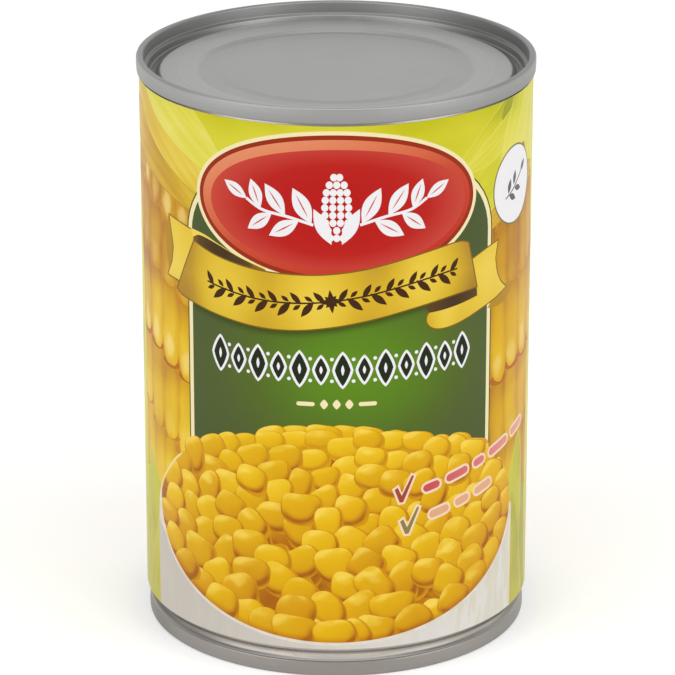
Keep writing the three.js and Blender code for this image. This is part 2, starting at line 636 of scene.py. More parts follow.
def grown(poly, d):
    """The polygon moved out by d, corner by corner."""
    area = sum(a[0] * b[1] - b[0] * a[1] for a, b in zip(poly, poly[1:] + poly[:1]))
    s = 1 if area > 0 else -1
    out = []
    n = len(poly)
    for i in range(n):
        a, p, b = poly[i - 1], poly[i], poly[(i + 1) % n]
        n1 = (p[1] - a[1], a[0] - p[0])
        n2 = (b[1] - p[1], p[0] - b[0])
        l1, l2 = math.hypot(*n1) or 1e-9, math.hypot(*n2) or 1e-9
        m = (n1[0] / l1 + n2[0] / l2, n1[1] / l1 + n2[1] / l2)
        q = m[0] ** 2 + m[1] ** 2
        f = min(2.0 / max(q, 1e-6), 1.6) if q > 1e-6 else 0.0
        out.append((p[0] + m[0] * f * d * s, p[1] + m[1] * f * d * s))
    return out


def shifted(poly, dx):
    return [(x + dx, z) for x, z in poly]


# ---- the strips between the display faces: two ears of corn among their leaves --------
def ear(cx, z_low, z_high, half, seed, tiers, slope, offset=0.0):
    """An ear of corn seen from near by: upright rows of long kernels, in tiers that run a little
    aslant, with a shadow under the foot of each kernel. tiers are the heights of the feet."""
    rng = random.Random(seed)
    mid, tall = (z_low + z_high) / 2, (z_high - z_low) / 2

    def width(z):
        t = (z - mid) / tall
        return half * max(0.0, 1 - abs(t) ** 4.0) ** 0.5

    outline = []
    for i in range(60):
        t = 2 * math.pi * i / 60
        z = mid + tall * math.sin(t)
        outline.append((cx + math.copysign(1, math.cos(t)) * width(z), z))
    paint(outline, "ear_gap", tone=0.4)
    pitch = 5.6 / half
    rows = []
    for j in range(-3, 4):
        phi = (j + offset) * pitch
        if abs(phi) > 1.38:
            continue
        for k, (high, low) in enumerate(zip(tiers, tiers[1:])):
            high += (j + offset) * slope + rng.uniform(-0.7, 0.7)
            low += (j + offset) * slope + rng.uniform(-0.7, 0.7)
            zz = (high + low) / 2
            w = width(min(z_high - 1.2, max(z_low + 1.2, zz)))
            if w < half * 0.3 or low > z_high + 1 or high < z_low - 1:
                continue
            a = 3.0 * math.cos(phi * 0.9) * (w / half) ** 0.6 * rng.uniform(0.97, 1.05)
            b = (high - low) * 0.525
            if a > 0.45:
                rows.append((zz, cx + w * math.sin(phi), a, b, phi, k))
    for zz, x, a, b, phi, k in sorted(rows):  # the upper ones lie over the tops of the lower ones
        wide = 1.0 if k == len(tiers) - 4 else 0.25  # one tier opens wider
        paint(oval(x, zz - b * 0.93, a * 0.99, b * (0.09 + 0.05 * wide), 14), "ear_shade", tone=wide)
        paint(
            kernel_outline(x, zz, a, b, rng.uniform(-0.03, 0.03), rng, 3.1, -0.04, 22, 0.7),
            "ear_kernel",
            disc_frame(x, zz, a, b),
            tone=max(0.0, math.cos(phi)),
        )


def husk(x0, z0, x1, z1, width, bend, tone, look="husk"):
    poly, local = leaf(x0, z0, x1, z1, width, bend, 26)
    paint(grown(poly, 0.2), look + "_edge", local, tone)
    paint(poly, look, local, tone)


for k in (-2, -1, 0):
    c = k * FACE + FACE / 2
    # leaves behind
    husk(c - 29, 74, c + 2, 117, 22, -0.05, 0.70)
    husk(c + 24, 78, c - 3, 113, 20, 0.07, 0.90)
    husk(c + 36, 84, c + 6, 117, 19, 0.06, 0.95)
    husk(c - 38, 88, c - 6, 114, 15, -0.06, 0.62)
    husk(c - 22.2, 103.4, c - 18.4, 108.9, 2.6, -0.05, 0.02)
    husk(c - 32, 96, c - 8, 109.5, 5, -0.04, 0.76)
    husk(c - 19, 86, c - 7, 113, 13, 0.05, 0.94)
    husk(c - 30, 44, c - 6, -4, 20, 0.06, 0.06)
    husk(c + 30, 42, c + 4, -4, 22, -0.06, 0.34)
    ear(c - 17.0, 28, 89, 13.4, 31, (95.0, 87.0, 71.4, 54.4, 40.4, 26.0), 1.2)
    ear(c + 18.6, 28, 106, 15.2, 57, (101.0, 85.6, 73.0, 57.4, 42.5, 27.5), -2.0, 0.5)
    # the leaf between the ears and those wrapped round their feet
    husk(c - 4, 2, c + 1.5, 100, 15, -0.02, 0.75)
    husk(c + 4, -6, c + 6, 62, 13, 0.05, 0.50)
    husk(c - 33, -2, c - 13, 40, 13, -0.10, 0.38)
    husk(c + 34, -4, c + 11, 37, 14, 0.10, 0.45)
    husk(c - 11, -8, c - 16, 29, 11, 0.06, 0.22)
    husk(c + 10, -8, c + 19, 30, 12, -0.06, 0.66)
    # leaves that lie over the shoulder of the right-hand ear, golden where they are thin
    husk(c - 2, 102, c + 32, 87.5, 10, 0.05, 0.26, "husk_gold")
    husk(c + 3, 110.5, c + 35, 89.5, 10, 0.04, 0.62, "husk_gold")
    husk(c + 7, 114, c + 38, 95, 10, 0.03, 0.98)
    # and one over the shoulder of the left-hand ear
    husk(c - 7, 91.5, c - 29, 82.5, 5, -0.06, 0.40, "husk_gold")

# ---- the display faces -----------------------------------------------------------------
PANEL_L, PANEL_R, PANEL_C = -30.2, 32.3, 1.05


def panel(inset):
    a = (PANEL_R - PANEL_L) / 2 - inset
    top = 19.0 - inset
    pts = [(PANEL_C - a, 30.0), (PANEL_C + a, 30.0), (PANEL_C + a, 84.0)]
    for i in range(1, 32):
        t = math.pi * i / 32
        pts.append((PANEL_C + a * math.cos(t), 84.0 + top * math.sin(t)))
    pts.append((PANEL_C - a, 84.0))
    return pts


RIBBON_TOP = curve([(-28.7, 82.1), (-23.0, 80.4), (-14.0, 79.1), (-4.0, 79.0), (4.0, 79.8), (10.0, 80.9), (17.0, 82.2), (23.6, 83.0), (26.2, 82.4)], 54)
RIBBON_BOTTOM = [(-33.6, 71.9), (-32.4, 71.1)] + curve([(-29.4, 70.5), (-23.0, 69.4), (-15.0, 68.5), (-8.0, 68.5), (-1.0, 69.3), (6.0, 70.5), (14.0, 72.0), (22.0, 73.1), (28.4, 73.5)], 48)


def along_ribbon(x):
    """Middle and half height of the ribbon at x, and its slope."""

    def mid(q):
        a = np.interp(q, *zip(*RIBBON_TOP))
        b = np.interp(q, *zip(*RIBBON_BOTTOM))
        return float((a + b) / 2), float((a - b) / 2)

    m, h = mid(x)
    return m, h, math.atan2(mid(x + 0.5)[0] - mid(x - 0.5)[0], 1.0)


def lens(cx, cz, length, width, rot, n=9):
    """A small leaf shape: two arcs that meet in points."""
    c, s = math.cos(rot), math.sin(rot)
    up = [(-length / 2 + length * i / n, width / 2 * math.sin(math.pi * i / n)) for i in range(n + 1)]
    pts = up + [(x, -z) for x, z in up[-2:0:-1]]
    return [(cx + x * c - z * s, cz + x * s + z * c) for x, z in pts]


def bar(cx, cz, length, height, rot, n=5):
    """A bar with round ends."""
    c, s = math.cos(rot), math.sin(rot)
    r, l = height / 2, length / 2 - height / 2
    pts = [(l + r * math.cos(t), r * math.sin(t)) for t in (math.pi * (i / n - 0.5) for i in range(n + 1))]
    pts += [(-l + r * math.cos(t), r * math.sin(t)) for t in (math.pi * (i / n + 0.5) for i in range(n + 1))]
    return [(cx + x * c - z * s, cz + x * s + z * c) for x, z in pts]


def spread(rng, count, outside, cell, inside, rounds=70):
    """Points spread evenly but without rows: each pushes its neighbours away to its own cell."""
    lo, hi = outside
    pts = []
    while len(pts) < count:
        x, z = rng.uniform(lo[0], hi[0]), rng.uniform(lo[1], hi[1])
        if inside(x, z) == (x, z):
            pts.append((x, z))
    p = np.array(pts)
    for k in range(rounds):
        w, h = cell(p[:, 1])
        dx = (p[:, None, 0] - p[None, :, 0]) / (w[:, None] + w[None, :])
        dz = (p[:, None, 1] - p[None, :, 1]) / (h[:, None] + h[None, :])
        d = np.hypot(dx, dz) + 1e-6
        push = np.where((d < 1.0) & (d > 1e-5), (1.0 - d) / d, 0.0)
        p[:, 0] += (push * dx).sum(1) * w * 0.55
        p[:, 1] += (push * dz).sum(1) * h * 0.55
        p = np.array([inside(x, z) for x, z in p])
    return [tuple(v) for v in p]


HEAP_X, HEAP_Z, HEAP_A, HEAP_UP, HEAP_DOWN = -0.3, 27.9, 40.7, 22.2, 20.9
HEAP_TOP = curve([(-36.6, 35.2), (-33.4, 39.2), (-29.7, 42.0), (-21.7, 46.2), (-13.7, 49.0), (-6.0, 50.1), (0.8, 50.5), (8.3, 49.2), (17.3, 46.9), (23.3, 46.1), (30.3, 42.5), (36.3, 37.7), (39.6, 31.9)], 60)


# the rim of the bowl at the upper left, upwards
RIM_LEFT = curve([(-42.2, 23.0), (-42.1, 25.4), (-41.7, 28.4), (-40.2, 32.0), (-37.4, 35.6), (-34.5, 38.5), (-30.6, 41.1), (-27.6, 42.6)], 30)


def rim_left(z):
    return float(np.interp(z, [p[1] for p in RIM_LEFT], [p[0] for p in RIM_LEFT]))


def heap(c):
    """Cooked kernels heaped in the bowl, seen from the front and above, the far ones first."""
    rng = random.Random(77)

    def size(z):  # nearer kernels look larger
        return 0.84 + 0.36 * np.clip((HEAP_Z + HEAP_UP - z) / (HEAP_UP + HEAP_DOWN), 0, 1)

    def cell(z):
        return 3.02 * size(z), 2.42 * size(z)

    def inside(x, z, back=0.0):
        a = HEAP_A - (2.6 if x < HEAP_X else 1.8)
        b = HEAP_UP - 2.4 - back if z > HEAP_Z else HEAP_DOWN - 1.6
        q = math.hypot((x - HEAP_X) / a, (z - HEAP_Z) / b)
        if q > 1:
            return HEAP_X + (x - HEAP_X) / q, HEAP_Z + (z - HEAP_Z) / q
        return x, z

    def rimmed(outline):
        """The rim of the bowl cuts off what reaches past it."""
        out = []
        for px, pz in outline:
            if px < HEAP_X and 23.0 < pz < 42.0:
                over = max(0.0, pz - 38.5)  # at its upper end the corn hangs over the rim
                px = max(px, rim_left(pz) + 0.55 - 0.35 * over * over)
            if pz < 41.5:
                b = HEAP_UP if pz > HEAP_Z else HEAP_DOWN - 0.1
                q = math.hypot((px - HEAP_X) / 40.6, (pz - HEAP_Z) / b)
                if q > 1:
                    px, pz = HEAP_X + (px - HEAP_X) / q, HEAP_Z + (pz - HEAP_Z) / q
            out.append((px, pz))
        mx, mz = sum(p[0] for p in out) / len(out), sum(p[1] for p in out) / len(out)
        return sorted(out, key=lambda p: math.atan2(p[1] - mz, p[0] - mx))  # keeps the outline free of crossings

    def kernel(x, z, ka, kb, rot, layer, far, lumps=1.5):
        outline = kernel_outline(x, z, ka, kb, rot, rng, rng.uniform(2.3, 3.6), rng.uniform(-0.16, 0.16), 26, lumps)
        frame = disc_frame(c + x, z, ka, kb, rot)
        halo = [(px + 0.24, pz - 0.40) for px, pz in grown(outline, 0.46)]
        paint(shifted(rimmed(halo), c), "heap_shade", frame, tone=min(1.0, (0.0 if layer else 0.2) + 0.80 * far))
        paint(shifted(rimmed(outline), c), "heap_kernel", frame, tone=layer)

    bed = [(x, z - 1.3) for x, z in HEAP_TOP[::-1]]
    bed += [(HEAP_X + 40.3 * math.cos(t), HEAP_Z - 21.0 * math.sin(t)) for t in (math.pi * (1 - i / 60) for i in range(61))]
    paint(shifted(rimmed(bed), c), "corn_gap", tone=0.6)
    box = ((HEAP_X - HEAP_A, HEAP_Z - HEAP_DOWN), (HEAP_X + HEAP_A, HEAP_Z + HEAP_UP))
    under = [p for p in spread(rng, 104, box, cell, lambda x, z: inside(x, z, 2.4), 25) if p[1] > 33 or rng.random() < 0.62]
    over = [p for p in spread(rng, 124, box, cell, inside, 90) if p[1] > 40 or p[1] < 10 or rng.random() > 0.10]
    ridge, x = [], -31.0  # a close row along the far edge
    while x < 38.0:
        ridge.append((x, float(np.interp(x, *zip(*HEAP_TOP))) - rng.uniform(1.55, 2.15)))
        x += rng.uniform(3.9, 5.2)
    for points, layer, grow in ((under, 0.0, 1.04), (ridge, 1.0, 0.94), (over, 1.0, 0.97)):
        order = sorted(points, key=lambda p: -p[1] - rng.uniform(-3.6, 3.6))
        for x, z in order:
            kind = rng.random()
            ka, kb = (3.2, 2.75) if kind < 0.46 else (2.95, 2.95) if kind < 0.80 else (3.5, 2.5)
            k = float(size(z)) * grow * rng.uniform(0.94, 1.10)
            if layer and rng.random() < 0.12:
                k *= 0.86
            far = min(1.0, max(0.0, (z - 36.0) / 11.0))  # seen more from the side, with little shade between
            if points is ridge:
                far = 1.0
            ka, kb = ka * k * (1 + 0.08 * far), kb * k * (1 - 0.24 * far)
            rot = rng.choice((-1, 1)) * rng.uniform(0, 0.6) if kind < 0.85 else rng.uniform(0.7, 2.3)
            if far > 0.5:
                rot = rng.uniform(-0.22, 0.22) - 0.012 * x
            kernel(x, z, ka, kb, rot, layer, far)


def branch(side, x0, z0):
    """A leafy branch that runs out from (x0, z0) to one side: a stem and pairs of leaves."""
    stem = curve([(x0, z0), (x0 + side * 4.6, z0 + 1.3), (x0 + side * 9.4, z0 + 2.2), (x0 + side * 12.6, z0 + 4.0)], 30)
    out = []
    for i, (at, l, w, up) in enumerate(
        (
            (0.06, 7.4, 3.1, 1),
            (0.20, 6.4, 2.8, -1),
            (0.38, 6.8, 2.9, 1),
            (0.54, 5.8, 2.6, -1),
            (0.70, 5.6, 2.5, 1),
            (0.98, 5.4, 2.3, 0),
        )
    ):
        k = min(len(stem) - 2, int(at * (len(stem) - 1)))
        (ax, az), (bx, bz) = stem[k], stem[k + 1]
        g = math.atan2(bz - az, (bx - ax) * side)
        r = g + up * 0.80
        cx, cz = ax + side * math.cos(r) * l * 0.52, az + math.sin(r) * l * 0.52
        out.append((cx, cz, l, w, side * r if side > 0 else -r))
    return stem, out


def face(c):
    def at(poly):
        return shifted(poly, c)

    def loc(f):
        return lambda s, z: f(s - c, z)

    def line(points, half):
        """A thin line of even width along the points."""
        up, low = [], []
        for i, (x, z) in enumerate(points):
            (ax, az), (bx, bz) = points[max(0, i - 1)], points[min(len(points) - 1, i + 1)]
            l = math.hypot(bx - ax, bz - az)
            nx, nz = -(bz - az) / l, (bx - ax) / l
            up.append((x + nx * half, z + nz * half))
            low.append((x - nx * half, z - nz * half))
        return up + low[::-1]

    # panel
    paint(at(panel(-0.28)), "edge_dark")
    paint(at(panel(0.0)), "cream")
    paint(at(panel(0.95)), "panel_green", loc(lambda x, z: (x - PANEL_C, z)))
    shade = [(x, z - 2.0) for x, z in RIBBON_BOTTOM if PANEL_L + 1.0 < x < 21.0]
    shade = [(PANEL_L + 0.95, shade[0][1] + 0.5)] + shade + [(21.0, 72.0), (0.0, 73.0), (PANEL_L + 0.95, 74.0)]
    paint(at(shade), "panel_shade", loc(lambda x, z: (x - PANEL_C, z - float(np.interp(x, *zip(*RIBBON_BOTTOM))))))

    # bowl and corn
    bowl = [(-42.4, 23.0), (-42.0, 4.0), (40.95, 4.0), (41.1, 26.5)]
    bowl += [(-0.4 + 40.2 * math.cos(t), 28.0 + 20.3 * math.sin(t)) for t in (math.pi * i / 60 for i in range(0, 31))]
    bowl += [(x + 0.12, z - 0.1) for x, z in RIM_LEFT[::-1]]
    paint(at(grown(bowl, 0.28)), "bowl_shadow")
    paint(at(bowl), "bowl", loc(lambda x, z: (x, z)))
    rim = [(-0.3 + 40.3 * math.cos(t), 27.9 + 20.2 * math.sin(t)) for t in (math.pi * i / 60 for i in range(0, 31))]
    rim += RIM_LEFT[::-1]
    rim += [(-0.3 - 41.2 * math.cos(t), 27.9 - 21.4 * math.sin(t)) for t in (math.pi * i / 60 for i in range(6, 60))]
    paint(at(rim), "bowl_rim", loc(lambda x, z: (x, z)))
    heap(c)

    # oval badge: cream edge, thin dark line, orange border, plain red field
    ox, oz = 0.1, 91.75
    for d, mat in ((0.0, "cream"), (0.75, "edge_red"), (1.6, "badge_rim"), (3.15, "badge_red")):
        q = 0.3 if mat == "badge_red" else 0.0
        paint(at(oval(ox + q, oz - q, 27.9 - d, 14.4 - d, 120, -0.009)), mat, loc(disc_frame(ox + q, oz - q, 27.9 - d, 14.4 - d)))
    # on it a plain ornament: a small ear between two leafy branches
    for side in (-1, 1):
        stem, leaves = branch(side, ox + side * 4.2, 88.6)
        paint(at(line(stem, 0.27)), "white_ink")
        for x, z, l, w, rot in leaves:
            paint(at(lens(x, z, l, w, rot, 12)), "white_ink")
            paint(at(lens(x, z, l * 0.66, 0.26, rot, 5)), "badge_line")
    paint(at(oval(ox, 92.0, 3.75, 6.9, 48)), "badge_red", loc(disc_frame(ox, oz, 25, 11)))
    for i in range(9):
        z = 86.2 + i * 1.42
        half = 2.85 * math.sqrt(max(0.04, 1 - ((z - 91.4) / 6.6) ** 2))
        n = max(2, min(4, round(half * 2 / 1.36)))
        for j in range(n):
            x = -half + 2 * half * (j + 0.5) / n
            paint(at(diamond(ox + x, z, 0.66, 0.72, 0.0, 1.9, 12)), "white_ink")
    for side in (-1, 1):  # its two husk leaves
        paint(at(lens(ox + side * 2.55, 88.3, 7.4, 2.5, side * 1.12, 12)), "white_ink")

    # ribbon: tails first, then the folds, then the band
    def gold(poly, local=None, tone=0.5):
        paint(at(grown(poly, 0.26)), "gold_edge")
        paint(at(poly), "gold", loc(local or (lambda x, z: (x / 30.0, (z - 77.0) / 7.0))), tone)

    paint(at(lens(-36.0, 79.4, 12.6, 2.4, math.pi / 2 + 0.04, 12)), "tail_shadow")
    paint(at(lens(36.0, 69.9, 9.4, 3.2, 0.30, 12)), "tail_shadow")
    gold([(-36.0, 85.3), (-28.0, 83.9), (-28.6, 76.0), (-31.8, 73.4), (-36.7, 73.8), (-35.2, 76.6), (-34.7, 79.6)], tone=0.76)
    # the back of the left fold: a lit lip, and the dark inside of the fold, which tapers off
    top = curve([(-29.6, 84.5), (-26.0, 84.0), (-22.6, 82.8), (-18.0, 81.2), (-13.4, 79.9)], 24)
    inner = curve([(-28.9, 82.9), (-27.4, 83.6), (-25.0, 83.3), (-21.6, 82.3), (-17.6, 80.9), (-13.0, 79.5)], 24)
    under = curve([(-13.0, 78.6), (-19.0, 79.0), (-25.0, 80.2), (-28.9, 81.6)], 16)
    paint(at(top + inner[::-1]), "gold", loc(lambda x, z: (x / 30.0, 0.0)), 0.95)
    paint(at(inner + under), "fold_dark", loc(lambda x, z: ((x + 22) / 8, (z - 81.5) / 2)))
    gold(
        curve([(26.0, 78.6), (30.6, 80.0), (34.4, 80.8)], 10) + curve([(33.7, 77.6), (34.3, 74.8), (35.6, 72.6), (37.4, 71.1)], 12)
        + curve([(34.0, 70.0), (29.6, 69.0), (25.0, 67.8), (21.0, 67.2), (18.4, 67.6), (17.1, 69.0), (17.6, 70.6), (19.6, 71.2), (23.0, 71.2)], 24) + [(28.6, 72.6)],
        tone=lambda s, z: 0.82 - 0.30 * min(1.0, max(0.0, (31.0 - (s - c)) / 6.0)) + 0.34 * math.exp(-(((s - c - 21.0) / 2.6) ** 2)),
    )
    fold = curve([(16.6, 72.0), (21.0, 73.6), (28.4, 74.2)], 10) + curve([(28.6, 71.7), (24.6, 71.1), (20.6, 70.7), (17.6, 70.6)], 10)
    paint(at(fold), "fold_dark", loc(lambda x, z: ((x - 23) / 8, (z - 72.5) / 2)))
    band, band_loc = strip_between(RIBBON_TOP, RIBBON_BOTTOM)
    # satin: the light lies on it in soft bands
    gold(band, band_loc, tone=lambda s, z: 0.50 + 0.27 * math.cos((s - c + 2.4) * math.pi / 10.2) - 0.40 * min(1.0, abs((s - c + 1.0) / 28.0)) ** 6)
    # a garland along the band
    for i in range(-11, 12):
        x = -0.9 + i * 2.16
        m, h, g = along_ribbon(x)
        m -= 0.1
        big = 1.0 if i % 2 == 0 else 0.8
        if i == 0:
            for rot in (0, math.pi / 2, math.pi / 4, -math.pi / 4):
                paint(at(lens(x, m, 4.6 if rot in (0, math.pi / 2) else 3.0, 1.2, g + rot, 8)), "brown_ink")
            continue
        side = 1 if i > 0 else -1
        up = 1 if (i % 2) else -1
        paint(at(lens(x, m + up * 1.15 * big, 3.9 * big, 1.35 * big, g + side * up * 0.85, 8)), "brown_ink")
        paint(at(lens(x - side * 0.2, m - up * 0.8, 1.8, 0.8, g - side * up * 0.6, 6)), "brown_ink")
    stem = [(float(x), along_ribbon(float(x))[0] - 0.1) for x in np.linspace(-25.4, 23.6, 40)]
    paint(at(line(stem, 0.16)), "brown_ink")

    # under the ribbon: a row of dark lozenges with white edges on a low arc, small ones between
    def arc_z(x):
        return 61.0 + 0.0019 * (x - 1.2) ** 2

    row = []
    for i in range(-6, 7):
        x = 1.2 + i * 3.95
        row.append((x, 1.15, 2.35) if i % 2 else (x, 1.45, 3.05))
    for px, a, b in row:
        paint(at(diamond(px, arc_z(px), a + 0.5, b + 0.6, 0.0, 1.3, 24)), "white_ink")
        paint(at(diamond(px, arc_z(px), a, b, 0.0, 1.2, 24)), "dark_ink")
        paint(at(diamond(px, arc_z(px), 0.32, b * 0.34, 0.0, 1.3, 12)), "white_ink")
    for up in (-1, 1):  # dots above and below, between them
        for i in range(-6, 6):
            px = 1.2 + (i + 0.5) * 3.95
            paint(at(oval(px, arc_z(px) + up * 2.1, 0.36, 0.36, 10)), "white_ink")
    # and a small cream rule under it
    for px, l in ((0.1, 0.0), (-2.2, 0.0), (2.4, 0.0), (-5.6, 3.4), (5.8, 3.4)):
        poly = bar(px, 54.4, l, 0.8, 0.0) if l else diamond(px, 54.4, 0.75, 0.95, 0.0, 1.3, 16)
        paint(at(poly), "cream")

    # the round white mark at the right shoulder, with a small sprig
    paint(at(oval(40.4, 90.1, 7.6, 7.6, 72)), "disc_edge")
    paint(at(oval(40.4, 90.1, 7.25, 7.25, 72)), "white_ink")
    paint(at(line(curve([(37.0, 88.0), (39.8, 89.2), (43.4, 91.8)], 12), 0.16)), "grey_ink")
    for x, z, l, w, rot in (
        (38.4, 90.1, 2.9, 1.25, 1.25),
        (39.6, 87.8, 2.9, 1.25, -0.45),
        (40.4, 91.3, 2.8, 1.2, 1.35),
        (41.8, 89.0, 2.8, 1.2, -0.25),
        (44.2, 92.7, 2.7, 1.2, 0.80),
    ):
        paint(at(lens(x, z, l, w, rot, 8)), "grey_ink")

    # two ticks, each with a row of plain bars that climbs to the right
    for (tx, tz), (bx0, bz0), bars, mat, tick_mat in (
        ((12.4, 36.9), (16.6, 36.3), (3.6, 5.2, 3.0, 6.4, 5.6), "pink_ink", "tick_red"),
        ((13.5, 30.5), (17.9, 30.9), (4.4, 3.4, 4.8), "pale_pink", "tick_olive"),
    ):
        tick = [(tx - 1.5, tz + 0.1), (tx - 0.9, tz + 0.5), (tx - 0.1, tz - 1.2), (tx + 1.9, tz + 2.6), (tx + 2.3, tz + 2.4), (tx + 0.2, tz - 2.5), (tx - 0.5, tz - 2.5)]
        paint(at(grown(tick, 0.42)), "white_pink")
        paint(at(tick), tick_mat)
        slope, along, parts = 0.20, 0.0, []
        for l in bars:
            m = along + l / 2
            parts.append((bx0 + m * math.cos(slope), bz0 + m * math.sin(slope), l))
            along += l + 1.5
        for bx, bz, l in parts:
            paint(at(bar(bx, bz, l + 0.9, 2.5, slope)), "white_pink")
        for bx, bz, l in parts:
            paint(at(bar(bx, bz, l, 1.5, slope)), mat, loc(lambda x, z: (x / 20.0, 0.0)))


for c in (-FACE, 0.0, FACE):
    face(c)


# =====================================================================================
# The paper: one closed sheet, cut along the edges of its print, wrapped and overlapped
# =====================================================================================
def step(t):
    t = min(1.0, max(0.0, t))
    return t * t * (3 - 2 * t)


UNDER_R = LABEL_R - 0.09  # outer face of the paper where it lies on the wall
LIFT = PAPER + 0.02
CLIMB0, CLIMB1 = S_END - OVERLAP - 2.6, S_END - OVERLAP - 0.5


def paper_r(s):
    return UNDER_R + LIFT * step((s - CLIMB0) / (CLIMB1 - CLIMB0))


def paper_slope(s):
    return (paper_r(s + 0.05) - paper_r(s - 0.05)) / 0.1


def wrap(s, z, inside):
    a = s / LABEL_R
    r = paper_r(s) - (PAPER if inside else 0.0)
    return (r * math.sin(a) * MM, -r * math.cos(a) * MM, z * MM)


def wrap_normal(s, inside):
    a = s / LABEL_R
    g = paper_slope(s)
    n = Vector((math.sin(a) - g * math.cos(a), -math.cos(a) - g * math.sin(a), 0)).normalized()
    return -n if inside else n


def seams(c):  # the lines halfway between display faces
    return (round((c - FACE / 2) / FACE)) * FACE + FACE / 2


grid = [S_START]
count = round((S_END - S_START) / 1.6)
grid = [S_START + (S_END - S_START) * i / count for i in range(count + 1)]
for line in (-1.5 * FACE, -0.5 * FACE, 0.5 * FACE):  # a line falls exactly between faces
    j = min(range(1, count), key=lambda i: abs(grid[i] - line))
    if S_START < line < S_END:
        grid[j] = line
for a, b in ((CLIMB0, CLIMB1),):
    grid = sorted(set(grid + [a + (b - a) * i / 4 for i in range(5)]))
    grid = [g for i, g in enumerate(grid) if i == 0 or g - grid[i - 1] > 0.12 or g == grid[-1]]

verts, edges, faces = [], [], []
for s in grid:
    edges.append((len(verts), len(verts) + 1))
    verts += [Vector((s, LABEL_Z0)), Vector((s, LABEL_Z1))]
for i in range(1, 10):
    z = LABEL_Z0 + (LABEL_Z1 - LABEL_Z0) * i / 10
    edges.append((len(verts), len(verts) + 1))
    verts += [Vector((S_START, z)), Vector((S_END, z))]
faces.append(list(range(len(verts), len(verts) + 4)))
verts += [Vector(p) for p in ((S_START, LABEL_Z0), (S_END, LABEL_Z0), (S_END, LABEL_Z1), (S_START, LABEL_Z1))]
kept = [(None, slot_of("husk"), lambda s, z: (0.0, 0.0), lambda s, z: 0.6, 0.5)]
for sh in shapes:
    xs = [p[0] for p in sh[0]]
    if max(xs) < S_START or min(xs) > S_END:
        continue
    faces.append(list(range(len(verts), len(verts) + len(sh[0]))))
    verts += [Vector(p) for p in sh[0]]
    kept.append(sh)

o_verts, _, o_faces, _, _, o_from = delaunay_2d_cdt(verts, edges, faces, 1, 2e-4, True)


def area_of(poly):
    return abs(sum(a[0] * b[1] - b[0] * a[1] for a, b in zip(poly, poly[1:] + poly[:1]))) / 2


covered = [0.0] * len(kept)
for f, src in zip(o_faces, o_from):
    if len(f) == 3:
        size = area_of([o_verts[v] for v in f])
        for k in src:
            covered[k] += size
sound = [k == 0 or covered[k] < 1.2 * area_of(sh[0]) + 0.05 for k, sh in enumerate(kept)]
sheet = [(f, max(k for k in src if sound[k])) for f, src in zip(o_faces, o_from) if 0 in src and len(f) == 3]

# the boundary of the outer face, in order
use = {}
for f, _ in sheet:
    for a, b in zip(f, f[1:] + f[:1]):
        use[(a, b)] = True
follow = {a: b for a, b in use if (b, a) not in use}
first = next(iter(follow))
loop = [first]
while follow[loop[-1]] != first:
    loop.append(follow[loop[-1]])

used = sorted({v for f, _ in sheet for v in f})
index = {v: i for i, v in enumerate(used)}
flat = [tuple(o_verts[v]) for v in used]
co = [wrap(s, z, False) for s, z in flat]
polys = [tuple(index[v] for v in f) for f, _ in sheet]
src = [k for _, k in sheet]

# inner face: the same edge, with only the upright lines inside it
i_in = [Vector(flat[index[v]]) for v in loop]
by_key = {(round(p[0], 3), round(p[1], 3)): i for i, p in enumerate(i_in)}
i_edges = []
for s in grid[1:-1]:
    a, b = by_key.get((round(s, 3), round(LABEL_Z0, 3))), by_key.get((round(s, 3), round(LABEL_Z1, 3)))
    if a is not None and b is not None:
        i_edges.append((a, b))
i_verts, _, i_faces, i_orig, _, _ = delaunay_2d_cdt(i_in, i_edges, [list(range(len(i_in)))], 1, 1e-5, True)
base = len(co)
inner_flat = [tuple(v) for v in i_verts]
co += [wrap(s, z, True) for s, z in inner_flat]
inner_of = {}
for j, orig in enumerate(i_orig):
    for o in orig:
        inner_of[o] = base + j
outer_count = len(polys)
for f in i_faces:
    polys.append(tuple(base + v for v in reversed(f)))
inner_count = len(polys)
for j in range(len(loop)):
    a, b = index[loop[j]], index[loop[(j + 1) % len(loop)]]
    ia, ib = inner_of[j], inner_of[(j + 1) % len(loop)]
    polys.append((b, a, ia, ib))

me = bpy.data.meshes.new("label_paper")
me.from_pydata(co, [], polys)
me.update()
label = bpy.data.objects.new("label_paper", me)
bpy.context.scene.collection.objects.link(label)

